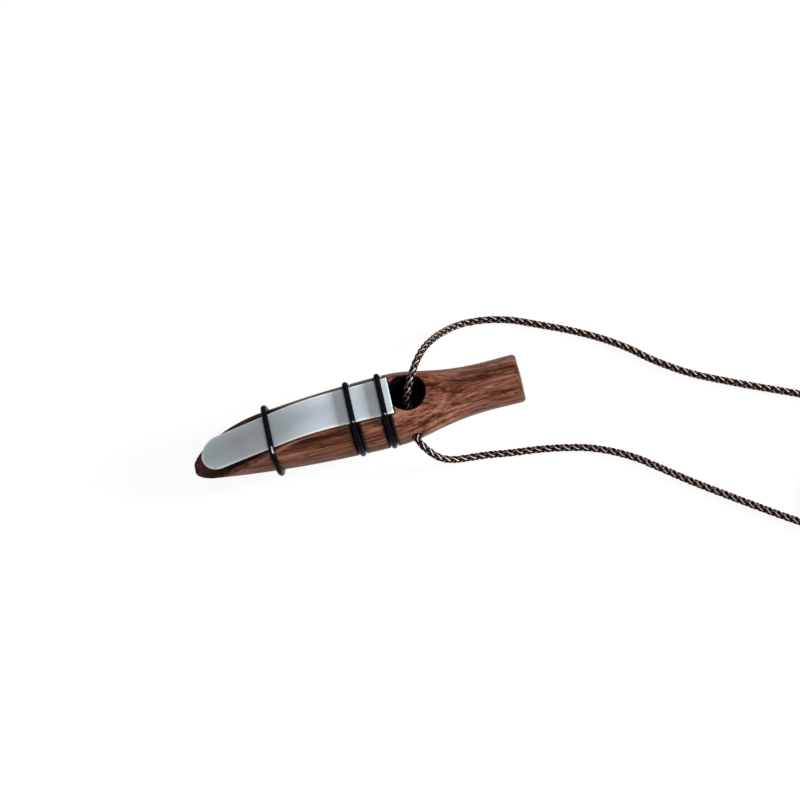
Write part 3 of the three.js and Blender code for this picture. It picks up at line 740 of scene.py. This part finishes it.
def add_tie(material):
    inside = COIL_INNER_RADIUS - CORD_DIAMETER / 2 - TIE_CLEARANCE
    outside = COIL_OUTER_RADIUS + CORD_DIAMETER / 2 + TIE_CLEARANCE
    floor = TIE_THICKNESS
    ceiling = BOTTOM_LAYER + COIL_STEP + CORD_DIAMETER / 2 + TIE_CLEARANCE
    half = TIE_THICKNESS / 2
    line = []
    corners = (
        (outside - TIE_ROUND, ceiling - TIE_ROUND, 0),
        (inside + TIE_ROUND, ceiling - TIE_ROUND, 90),
        (inside + TIE_ROUND, floor + TIE_ROUND, 180),
        (outside - TIE_ROUND, floor + TIE_ROUND, 270),
    )
    for along, height, start in corners:
        for i in range(TAPE_CORNER_STEPS + 1):
            angle = math.radians(start + 90 * i / TAPE_CORNER_STEPS)
            line.append((along, height, math.cos(angle), math.sin(angle)))
    edge = TIE_WIDTH / 2
    section = [
        (-edge, -half + TAPE_EDGE_ROUND), (-edge, half - TAPE_EDGE_ROUND),
        (-edge + TAPE_EDGE_ROUND, half),
        (-edge / 3, half + TAPE_CROWN), (edge / 3, half + TAPE_CROWN),
        (edge - TAPE_EDGE_ROUND, half), (edge, half - TAPE_EDGE_ROUND),
        (edge, -half + TAPE_EDGE_ROUND), (edge - TAPE_EDGE_ROUND, -half),
        (-edge + TAPE_EDGE_ROUND, -half),
    ]
    points = []
    for along, height, out_along, out_up in line:
        for across, thick in section:
            reach = TIE_ROUND + half + thick
            points.append(coil_point(along + out_along * reach, across, height + out_up * reach))
    faces = tube_faces(len(line), len(section), closed=True)
    return add_mesh("coil_tape", np.array(points), faces, [material])


# Wooden body: a signed distance in X along the axis, Y across and Z up from the axis, with
# rounded edges, which is meshed on a grid

WOOD_CELL, WOOD_MARGIN_CELLS, WOOD_SLAB = 0.3, 3, 40
SETTLE_ROUNDS, SETTLE_PROBE, LEAST_SLOPE = 4, 0.01, 0.25
WOOD_EDGE_ROUND = 0.25
GROOVE_EDGE_ROUND = 0.2
TONE_HOLE_EDGE_ROUND = 0.45
BORE_EDGE_ROUND = 0.4
CORD_HOLE_EDGE_ROUND = 0.3
BOARD_DROP = BOARD_HEIGHT - (NOSE_ROUND - TIP_RADIUS)
BOARD_BEND_RADIUS = (
    (BOARD_CURVE_LENGTH * math.tan(BOARD_SLOPE) - BOARD_DROP) / (1 / math.cos(BOARD_SLOPE) - 1)
)
BOARD_BEND_X = -HALF_LENGTH + BOARD_CURVE_LENGTH

# How far the changes of colour on the wood reach
MILLED_FROM, MILLED_FADE = 0.02, 0.15
BOARD_SHADE_BACK, BOARD_SHADE_FRONT, BOARD_SHADE_FADE = 4.5, 0.45, 0.6
BURN_HORN_SIDE, BURN_TIP_SIDE, BURN_FADE = 1.95, 1.55, 0.35
HOLE_SHADE_MARGIN, HOLE_SHADE_FROM, HOLE_SHADE_FADE = 0.15, 0.3, 2.5
END_GRAIN_FALL, POLISHED_DEPTH = 0.5, 0.12
EDGE_HIGHLIGHT_REACH, EDGE_HIGHLIGHT_UNTIL, EDGE_HIGHLIGHT_FADE = 0.6, 84.0, 10.0
REED_SHADOW_REACH, REED_SHADOW_FADE = 0.6, 0.3
TIP_DARK_FROM, TIP_DARK_FADE, FRONT_BOARD_DARK = 87.0, 4.0, 0.25


# Height and slope of a line over the tone board: flat, then a bend, then straight
def board_line(x, height, bend):
    radius = BOARD_BEND_RADIUS + height
    back = np.maximum(BOARD_BEND_X - x, 0)
    bend_length = radius * math.sin(bend)
    angle = np.arcsin(np.minimum(back, bend_length) / radius)
    z = BOARD_HEIGHT - BOARD_BEND_RADIUS + radius * np.cos(angle)
    return z - np.maximum(back - bend_length, 0) * math.tan(bend), angle


# Half of the reed's width, which narrows towards the tip
def reed_half_width(x):
    length = REED_END_X - REED_TIP_X
    return (REED_WIDTH + (REED_TONGUE_WIDTH - REED_WIDTH) * (REED_END_X - x) / length) / 2


# The distance to what is inside two shapes, with the edge between them rounded
def both(a, b, edge):
    inner = np.minimum(np.maximum(a, b), -edge)
    return inner + np.hypot(np.maximum(a + edge, 0), np.maximum(b + edge, 0))


# Signed distance to the wood, which is negative inside
def wood_distance(p):
    x, y, z = p[..., 0], p[..., 1], p[..., 2]
    around = np.hypot(y, z)
    distance = HALF_LENGTH - x
    slope = np.interp(distance, outline[:, 0], outline_slope)
    solid = (around - body_radius(distance)) / np.sqrt(1 + slope ** 2)
    solid = both(solid, -distance, HORN_EDGE_ROUND)
    solid = both(solid, distance - BODY_LENGTH, WOOD_EDGE_ROUND)
    board, angle = board_line(x, 0.0, BOARD_SLOPE)
    over_board = np.maximum((board - z) * np.cos(angle), x - SHOULDER_X)
    solid = both(solid, -over_board, WOOD_EDGE_ROUND)
    for at in CLAMP_RINGS_AT:
        groove = np.maximum(GROOVE_RADIUS - around, np.abs(distance - at) - GROOVE_HALF_WIDTH)
        solid = both(solid, -groove, GROOVE_EDGE_ROUND)
    floor, angle = board_line(x, -CHANNEL_DEPTH, BOARD_SLOPE)
    channel = np.maximum.reduce([
        np.abs(y) - CHANNEL_WIDTH / 2, (floor - z) * np.cos(angle),
        x - TONE_HOLE_X, CHANNEL_TIP_LAND - HALF_LENGTH - x,
    ])
    solid = both(solid, -channel, WOOD_EDGE_ROUND)
    tone_hole = np.hypot(x - TONE_HOLE_X, y) - TONE_HOLE_RADIUS
    solid = both(solid, -np.maximum(tone_hole, TONE_HOLE_FLOOR - z), TONE_HOLE_EDGE_ROUND)
    bore = np.maximum(around - HORN_BORE_RADIUS, TONE_HOLE_X - x)
    solid = both(solid, -bore, BORE_EDGE_ROUND)
    cord_hole_x = TONE_HOLE_X + CORD_HOLE_OFFSET
    cord_hole = np.hypot(x - cord_hole_x, z - CORD_HOLE_HEIGHT) - CORD_HOLE_RADIUS
    return both(solid, -np.maximum(cord_hole, y), CORD_HOLE_EDGE_ROUND)


# Quads of the surface where a field on a grid changes sign
def surface_net(field, origin, cell):
    inside = field < 0
    shape = np.array(field.shape) - 1
    total = np.zeros((*shape, 3))
    count = np.zeros(shape, np.int32)
    for axis in range(3):
        others = [k for k in range(3) if k != axis]
        for b in (0, 1):
            for c in (0, 1):
                near, far = [None] * 3, [None] * 3
                near[axis], far[axis] = slice(0, -1), slice(1, None)
                for k, shift in zip(others, (b, c)):
                    near[k] = far[k] = slice(shift, shift + shape[k])
                f0, f1 = field[tuple(near)], field[tuple(far)]
                crossed = (f0 < 0) != (f1 < 0)
                share = np.where(crossed, f0 / np.where(crossed, f0 - f1, 1.0), 0.0)
                offset = np.zeros((*shape, 3))
                offset[..., axis] = share
                offset[..., others[0]], offset[..., others[1]] = b, c
                total += offset * crossed[..., None]
                count += crossed
    used = count > 0
    index = np.full(shape, -1)
    index[used] = np.arange(used.sum())
    corner = np.stack(np.nonzero(used), 1)
    points = origin + cell * (corner + total[used] / count[used][:, None])
    faces = []
    for axis in range(3):
        u, v = (axis + 1) % 3, (axis + 2) % 3
        near, far = [slice(1, -1)] * 3, [slice(1, -1)] * 3
        near[axis], far[axis] = slice(0, -1), slice(1, None)
        start, end = inside[tuple(near)], inside[tuple(far)]
        for first_inside in (True, False):
            place = np.stack(np.nonzero((start != end) & (start == first_inside)), 1)
            place[:, u] += 1
            place[:, v] += 1
            quad = []
            for du, dv in ((-1, -1), (0, -1), (0, 0), (-1, 0)):
                cell_at = place.copy()
                cell_at[:, u] += du
                cell_at[:, v] += dv
                quad.append(index[cell_at[:, 0], cell_at[:, 1], cell_at[:, 2]])
            quad = np.stack(quad if first_inside else quad[::-1], 1)
            faces.append(quad)
    return points, np.concatenate(faces)


# Moves points onto the surface, down the slope of the distance to it
def settle_on_surface(points):
    steps = np.eye(3) * SETTLE_PROBE
    for _ in range(SETTLE_ROUNDS):
        value = wood_distance(points)
        gradient = np.stack([
            (wood_distance(points + step) - wood_distance(points - step)) / (2 * SETTLE_PROBE)
            for step in steps
        ], -1)
        size = np.maximum((gradient ** 2).sum(-1, keepdims=True), LEAST_SLOPE)
        points = points - np.clip(value, -WOOD_CELL, WOOD_CELL)[..., None] * gradient / size
    return points


# How strong each change of colour is at points of the wood
def wood_values(points):
    x, y, z = points.T
    distance = HALF_LENGTH - x
    around = np.hypot(y, z)
    depth = np.where(distance > HORN_EDGE_ROUND, body_radius(distance) - around, 0.0)
    below_board = board_line(x, 0.0, BOARD_SLOPE)[0] - z
    beside_reed = np.maximum(np.abs(y) - reed_half_width(x), 0)
    past_shoulder = distance > SHOULDER_AT
    on_front = past_shoulder & (y < 0)
    before_tip = clamped((TIP_DARK_FROM - distance) / TIP_DARK_FADE)

    # Cut faces are dark, and painted shade darkens the edges of the board, in a wide band on the
    # back and a narrow one in front; in front of the reed the darkening is kept only at the tip
    board_shade_reach = np.where(y > 0, BOARD_SHADE_BACK, BOARD_SHADE_FRONT)
    painted_board_edge_shade = clamped((board_shade_reach - below_board) / BOARD_SHADE_FADE) * past_shoulder
    milled_and_shade = np.maximum(clamped((depth - MILLED_FROM) / MILLED_FADE), painted_board_edge_shade)
    lighter = on_front * before_tip * clamped(beside_reed / REED_SHADOW_FADE)
    milled_and_shade *= 1 - (1 - FRONT_BOARD_DARK) * lighter

    # Painted highlight: a light line along the front edge of the board
    painted_edge_highlight = clamped(1 - np.hypot(depth, below_board) / EDGE_HIGHLIGHT_REACH) * on_front
    painted_edge_highlight *= clamped((EDGE_HIGHLIGHT_UNTIL - distance) / EDGE_HIGHLIGHT_FADE)
    # Painted shadow of the reed's edge: a dark line on the wood right beside the reed
    from_reed = np.hypot(beside_reed, below_board)
    painted_reed_shadow = clamped((REED_SHADOW_REACH - from_reed) / REED_SHADOW_FADE) * on_front * before_tip
    burnt = np.zeros(len(points))
    for at in CLAMP_RINGS_AT:
        off = distance - at
        beside = np.where(off < 0, BURN_HORN_SIDE, BURN_TIP_SIDE) - np.abs(off)
        burnt = np.maximum(burnt, clamped(beside / BURN_FADE + 0.5))
    burnt *= past_shoulder
    # Painted shade: the wood deep in the tone hole and the bore turns near black
    in_tone_hole = np.hypot(x - TONE_HOLE_X, y) < TONE_HOLE_RADIUS + HOLE_SHADE_MARGIN
    in_bore = (around < HORN_BORE_RADIUS + HOLE_SHADE_MARGIN) & (x > TONE_HOLE_X)
    painted_hole_shade = np.where(in_tone_hole | in_bore, clamped((depth - HOLE_SHADE_FROM) / HOLE_SHADE_FADE), 0.0)
    return {
        "milled_and_shade": milled_and_shade, "painted_hole_shade": painted_hole_shade, "burnt": burnt, "painted_edge_highlight": painted_edge_highlight, "painted_reed_shadow": painted_reed_shadow,
        "end_grain": clamped(1 - distance / HORN_EDGE_ROUND) ** END_GRAIN_FALL,
        "polished": (distance < POLISHED_DEPTH) & (around > HORN_BORE_RADIUS),
    }


def add_wood(material):
    margin = WOOD_MARGIN_CELLS * WOOD_CELL
    low = np.array([-HALF_LENGTH, -BELLY_RADIUS, -BELLY_RADIUS]) - margin
    high = -low
    counts = np.ceil((high - low) / WOOD_CELL).astype(int) + 1
    xs, ys, zs = (low[k] + WOOD_CELL * np.arange(counts[k]) for k in range(3))
    field = np.empty(counts)
    for i in range(0, counts[0], WOOD_SLAB):
        slab = slice(i, i + WOOD_SLAB)
        field[slab] = wood_distance(np.stack(np.meshgrid(xs[slab], ys, zs, indexing="ij"), -1))
    points, faces = surface_net(field, low, WOOD_CELL)
    points = settle_on_surface(points)
    values = wood_values(points)
    points[:, 2] += AXIS_HEIGHT
    return add_mesh("wood_body", points, faces.tolist(), [material], values=values)


# Reed: one strip, pulled down a little at its edges under the clamp rings

REED_EDGE_ROUND = 0.12
REED_EDGE_TURNS = (math.pi / 6, math.pi / 3, math.pi / 2)
# Width of the light rim, a painted highlight, and the least and greatest shares of the width that
# are left plain
REED_HIGHLIGHT_RIM, REED_PLAIN_LEAST, REED_PLAIN_MOST = 0.5, 0.05, 0.95
REED_LIGHT_REACH, REED_LIGHT_FALL = 4.2, 1.5
REED_ROWS, REED_TIP_ROWS, REED_COLUMNS = 150, 28, 22
REED_TIP_CUT = 0.9995
REED_DENT, REED_DENT_LENGTH = 0.16, 1.3


def add_reed(material, edge_and_highlight_material):
    round_x = REED_TIP_X + REED_TIP_ROUND
    straight = np.linspace(REED_END_X, round_x, REED_ROWS)
    turn = np.linspace(0, math.pi / 2, REED_TIP_ROWS)[1:]
    tip = round_x - REED_TIP_ROUND * np.sin(turn) * REED_TIP_CUT
    xs = np.concatenate([straight, tip])
    widest = reed_half_width(xs)
    half = widest * np.sqrt(clamped(1 - clamped((round_x - xs) / REED_TIP_ROUND) ** 2))
    # The cut edge shows as a light rim of even width, also round the tip: a band of the top face
    # along the edge gets the edge's near-white colour as a painted highlight
    past_round = clamped((round_x - xs) / (REED_TIP_ROUND - REED_HIGHLIGHT_RIM))
    inner = (widest - REED_HIGHLIGHT_RIM) * np.sqrt(1 - past_round ** 2)
    inner = np.maximum(inner, REED_PLAIN_LEAST * half)
    middle_height = REED_SEAT + REED_THICKNESS / 2
    rise, angle = board_line(xs, middle_height, REED_WRAP)
    points, painted_reed_light = [], []
    for x, z, lean, reach, plain in zip(xs, rise, angle, half, inner):
        edge = min(REED_EDGE_ROUND, reach / 2)
        plain = min(plain, (reach - edge) * REED_PLAIN_MOST)
        flat = np.linspace(-1, 1, REED_COLUMNS - 2) * plain
        flat = np.concatenate([[edge - reach], flat, [reach - edge]])
        top = [(y, REED_THICKNESS / 2) for y in flat]
        bottom = [(y, -REED_THICKNESS / 2) for y in flat[::-1]]
        side = [
            (reach - edge + edge * math.sin(t), (REED_THICKNESS / 2 - edge) + edge * math.cos(t))
            for t in REED_EDGE_TURNS
        ]
        right = side + [(y, -thick) for y, thick in side[::-1]]
        left = [(-y, thick) for y, thick in right[::-1]]
        for y, thick in top + right + bottom + left:
            dent = 0.0
            for at in CLAMP_RINGS_AT:
                off = (x - (HALF_LENGTH - at)) / REED_DENT_LENGTH
                dent += REED_DENT * math.exp(-off * off) * (y / (REED_WIDTH / 2)) ** 2
            # Painted light: the reed gets lighter towards its edges
            painted_reed_light.append(max(1 - (reach - abs(y)) / REED_LIGHT_REACH, 0.0) ** REED_LIGHT_FALL)
            points.append((
                x + thick * -math.sin(lean), y, z + thick * math.cos(lean) - dent + AXIS_HEIGHT,
            ))
    around = len(points) // len(xs)
    faces = tube_faces(len(xs), around)
    place = np.arange(around) % (around // 2)
    side = (place >= REED_COLUMNS - 2) | (place == 0)
    in_highlight_rim = past_round[1:] >= 1
    marks = np.concatenate([(side[None, :] | in_highlight_rim[:, None]).ravel(), [True, True]]).astype(int)
    return add_mesh(
        "reed", np.array(points), faces, [material, edge_and_highlight_material], marks,
        values={"painted_reed_light": painted_reed_light},
    )


# Rubber rings, pulled tight: in each direction a ring touches the furthest point of its section

RING_SECTION, RING_CLEARANCE = 1.68, 0.05
RING_STEPS, RING_SIDES = 144, 16


# The upper corners of the reed's section at a distance from the horn end
def reed_corners(at):
    x = HALF_LENGTH - at
    top, _ = board_line(np.array([x]), REED_SEAT + REED_THICKNESS, REED_WRAP)
    half = reed_half_width(x)
    return [(-half, float(top[0])), (half, float(top[0]))]


# A ring round corners on top and, up to the height back_top, a circle at the back
def add_ring(name, at, back_radius, back_top, corners, lean, material):
    half = RING_SECTION / 2
    points = []
    for i in range(RING_STEPS):
        turn = 2 * math.pi * i / RING_STEPS
        out = np.array([-math.sin(turn), math.cos(turn)])
        choices = [np.array(c) for c in corners]
        if back_radius * out[1] <= back_top:
            choices.append(out * back_radius)
        touched = max(choices, key=lambda c: c.dot(out))
        for j in range(RING_SIDES):
            roll = 2 * math.pi * j / RING_SIDES
            y, z = touched + out * (RING_CLEARANCE + half + half * math.cos(roll))
            x = half * math.sin(roll)
            points.append((
                HALF_LENGTH - at + x * math.cos(lean) - z * math.sin(lean), y,
                x * math.sin(lean) + z * math.cos(lean) + AXIS_HEIGHT,
            ))
    faces = [face[::-1] for face in tube_faces(RING_STEPS, RING_SIDES, closed=True)]
    return add_mesh(name, np.array(points), faces, [material])


def add_rings(material):
    rings = []
    for name, at in (("rear_ring", REAR_RING_AT), ("front_ring", FRONT_RING_AT)):
        corners = reed_corners(at)
        rings.append(add_ring(name, at, GROOVE_RADIUS, GROOVE_RADIUS, corners, 0.0, material))
    radius = float(body_radius(TUNING_RING_AT))
    height = float(board_line(np.array([HINGE_X]), 0.0, BOARD_SLOPE)[0][0])
    edge = math.sqrt(radius ** 2 - height ** 2)
    corners = [(-edge, height), (edge, height)] + reed_corners(TUNING_RING_AT)
    rings.append(add_ring(
        "tuning_o_ring", TUNING_RING_AT, radius, height, corners, TUNING_RING_LEAN, material,
    ))
    return rings


# Stage and light, in metres and watts

FLOOR_SIZE = 4.0
FLOOR_COLOUR, FLOOR_SHADE, FLOOR_GLOW = 0.8, 0.12, 0.92
GLOW_FULL_FROM, GLOW_FULL_AT = 0.25, 0.9
WHITE = (1.0, 1.0, 1.0, 1.0)
AMBIENT = 0.29
LAMP_AIM = (0, 0, 0.01)
KEY_ELEVATION, KEY_AZIMUTH, KEY_DISTANCE = math.radians(20), math.radians(-9), 0.95
KEY_SIZE, KEY_POWER = 0.24, 15.5
FRONT_PLACE, FRONT_SIZE, FRONT_POWER = (0.3, -0.55, 0.8), 0.07, 1.2
GLINT_PLACES = ((0.2, -0.24, 0.9), (0.71, -0.24, 0.6))
GLINT_SIZE, GLINT_POWER = 0.2, 110.0


# One where a ray comes from the camera, a reflection or a clear material
def seen_rays(tree):
    path = add_node(tree, "ShaderNodeLightPath")
    seen_ray = path.outputs["Is Camera Ray"]
    for kind in ("Is Glossy Ray", "Is Transmission Ray"):
        seen_ray = add_node(
            tree, "ShaderNodeMath", {0: seen_ray, 1: path.outputs[kind]}, operation="MAXIMUM",
        ).outputs[0]
    return seen_ray


def add_stage():
    material, tree, shader = new_material("floor_paper")
    tree.nodes.remove(shader)
    output = next(node for node in tree.nodes if node.type == "OUTPUT_MATERIAL")
    plain = add_node(tree, "ShaderNodeBsdfDiffuse", {"Color": (*grey(FLOOR_COLOUR), 1.0)})
    shade = add_node(tree, "ShaderNodeBsdfDiffuse", {"Color": (*grey(FLOOR_SHADE), 1.0)})
    # Far from the object the floor is as white as the background, so that it has no edge
    place = add_node(tree, "ShaderNodeTexCoord")
    away = add_node(tree, "ShaderNodeVectorMath", {0: place.outputs["Object"]}, operation="LENGTH")
    level = add_node(tree, "ShaderNodeMapRange", {
        "Value": away.outputs["Value"], "From Min": GLOW_FULL_FROM, "From Max": GLOW_FULL_AT,
        "To Min": FLOOR_GLOW, "To Max": 1.0,
    })
    glow = add_node(
        tree, "ShaderNodeEmission", {"Color": WHITE, "Strength": level.outputs["Result"]},
    )
    bright = add_node(tree, "ShaderNodeAddShader", {0: shade.outputs[0], 1: glow.outputs[0]})
    mix = add_node(
        tree, "ShaderNodeMixShader",
        {"Fac": seen_rays(tree), 1: plain.outputs[0], 2: bright.outputs[0]},
    )
    tree.links.new(mix.outputs[0], output.inputs["Surface"])
    half = FLOOR_SIZE / 2 / MM
    corners = [(-half, -half, 0), (half, -half, 0), (half, half, 0), (-half, half, 0)]
    floor = add_mesh("floor", corners, [(0, 1, 2, 3)], [material], smooth=False)


# A square lamp, turned to the call
def add_softbox(name, place, size, power):
    data = bpy.data.lights.new(name, "AREA")
    data.shape = "RECTANGLE"
    data.size, data.size_y = size, size
    data.energy = power
    lamp = bpy.data.objects.new(name, data)
    bpy.context.scene.collection.objects.link(lamp)
    lamp.location = place
    lamp.rotation_euler = (Vector(LAMP_AIM) - Vector(place)).to_track_quat("-Z", "Y").to_euler()
    return lamp


def add_light(glossy_pieces):
    world = bpy.data.worlds.new("studio")
    world.use_nodes = True
    bpy.context.scene.world = world
    tree = world.node_tree
    background = next(node for node in tree.nodes if node.type == "BACKGROUND")
    background.inputs["Color"].default_value = WHITE
    strength = add_node(
        tree, "ShaderNodeMapRange", {"Value": seen_rays(tree), "To Min": AMBIENT, "To Max": 1.0},
    ).outputs[0]
    tree.links.new(strength, background.inputs["Strength"])
    level = KEY_DISTANCE * math.cos(KEY_ELEVATION)
    key_place = (
        level * math.cos(KEY_AZIMUTH), level * math.sin(KEY_AZIMUTH),
        KEY_DISTANCE * math.sin(KEY_ELEVATION),
    )
    add_softbox("key", key_place, KEY_SIZE, KEY_POWER)
    add_softbox("front", FRONT_PLACE, FRONT_SIZE, FRONT_POWER)
    # Lamps shielded from all but the black rubber, which show in its reflections alone
    glossy = bpy.data.collections.new("glossy_pieces")
    for piece in glossy_pieces:
        glossy.objects.link(piece)
    for i, place in enumerate(GLINT_PLACES):
        lamp = add_softbox(f"glint_{i}", place, GLINT_SIZE, GLINT_POWER)
        lamp.visible_diffuse = False
        lamp.light_linking.receiver_collection = glossy


# Making the pieces, attaching them to their bodies and hiding the CAD parts that they replace

bpy.context.scene.view_settings.view_transform = "Standard"
add_camera()
# In the order of DARK_YARN, LIGHT_YARN_AND_GLINT, CORE_YARN and DIM_YARN_AND_GLINT
cord_materials = [
    yarn_material("cord_dark_yarn", seen(9, 3, 1), seen(38, 21, 15), YARN_ROUGHNESS),
    yarn_material("cord_light_yarn_and_glint", seen(132, 114, 107), seen(242, 224, 217), YARN_ROUGHNESS),
    yarn_material("cord_core", seen(5, 2, 1), seen(11, 5, 3), CORE_ROUGHNESS),
    yarn_material("cord_dim_yarn_and_glint", seen(44, 29, 24), seen(142, 122, 114), YARN_ROUGHNESS),
]
(upper, upper_path, upper_length), (lower, lower_path, lower_length) = add_cords(cord_materials)
knot = add_knot(cord_materials)
tie = add_tie(tape_material())
wood = add_wood(wood_material())
reed = add_reed(reed_material(), reed_edge_and_highlight_material())
rear_ring, front_ring, tuning_ring = add_rings(rubber_material())

for piece, body, nodes, slot in (
    (upper, "call", ["cord_upper_run"], "cord"),
    (lower, "call", ["cord_lower_run", "cord_coil"], "cord"),
    (knot, "call", ["cord_knot"], "cord"),
    (tie, "call", ["coil_tie"], "tie"),
    (wood, "call", ["call_body"], "wood"),
    (rear_ring, "call", ["rear_clamp_ring"], "rubber"),
    (front_ring, "call", ["front_clamp_ring"], "rubber"),
    (tuning_ring, "tuning_ring", ["tuning_ring"], "rubber"),
):
    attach(piece, body)
    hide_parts(*nodes)
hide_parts("reed_clamped", "reed_tongue")
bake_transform(reed)
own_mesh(tuning_ring)
add_stage()
add_light([rear_ring, front_ring, tuning_ring])
